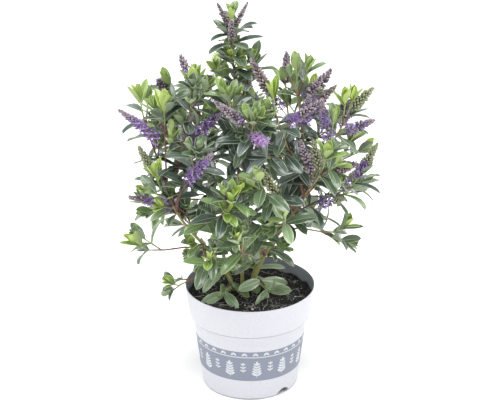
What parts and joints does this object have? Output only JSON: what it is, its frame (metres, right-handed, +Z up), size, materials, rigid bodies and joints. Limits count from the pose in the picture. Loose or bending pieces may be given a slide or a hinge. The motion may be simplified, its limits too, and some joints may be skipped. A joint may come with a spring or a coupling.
{
  "type": "potted shrub",
  "caption": "Bushy evergreen hebe shrub with narrow leaves in crossed pairs and violet flower spikes, standing in a round white plastic nursery pot filled with compost.",
  "frame": {"origin": "centre of the pot's flat underside, on the surface it stands on", "axes": "+Z up the plant, -Y towards the viewer of the picture, +X to the viewer's right"},
  "size_m": [0.3472, 0.3219, 0.5261],
  "materials": {
    "pot": "smooth moulded white polypropylene, satin",
    "compost": "damp dark potting compost, rough",
    "bark": "green to reddish brown young bark",
    "foliage": "leathery green leaves with a soft sheen, and violet blossom"
  },
  "bodies": {
    "root": {"bough_back_left": "bark", "bough_front_centre": "bark", "bough_front_foot": "bark", "bough_front_left": "bark", "bough_front_right": "bark", "bough_front_shoulder": "bark", "bough_front_top": "bark", "bough_left_high": "bark", "bough_left_inner": "bark", "bough_right_inner": "bark", "foliage_back_left": "foliage", "foliage_back_left_top": "foliage", "foliage_back_low_left": "foliage", "foliage_back_low_right": "foliage", "foliage_back_mid": "foliage", "foliage_back_right": "foliage", "foliage_back_right_top": "foliage", "foliage_foot_back_left": "foliage", "foliage_foot_back_right": "foliage", "foliage_foot_left": "foliage", "foliage_foot_right": "foliage", "foliage_front_centre": "foliage", "foliage_front_foot": "foliage", "foliage_front_left": "foliage", "foliage_front_low": "foliage", "foliage_front_mid": "foliage", "foliage_front_right": "foliage", "foliage_front_shoulder": "foliage", "foliage_front_top": "foliage", "foliage_leader": "foliage", "foliage_left_back": "foliage", "foliage_left_front": "foliage", "foliage_left_high": "foliage", "foliage_left_inner": "foliage", "foliage_left_low_back": "foliage", "foliage_left_top": "foliage", "foliage_low_front": "foliage", "foliage_low_left": "foliage", "foliage_right_back": "foliage", "foliage_right_front": "foliage", "foliage_right_inner": "foliage", "foliage_right_low": "foliage", "foliage_right_low_back": "foliage", "foliage_right_mid": "foliage", "foliage_right_top": "foliage", "foliage_rim_left": "foliage", "foliage_rim_right": "foliage", "foliage_top_left": "foliage", "foliage_top_right": "foliage", "pot": "pot", "soil": "compost", "stem_back_left": "bark", "stem_back_right": "bark", "stem_left": "bark", "stem_middle": "bark", "stem_right": "bark"}
  },
  "joints": []
}
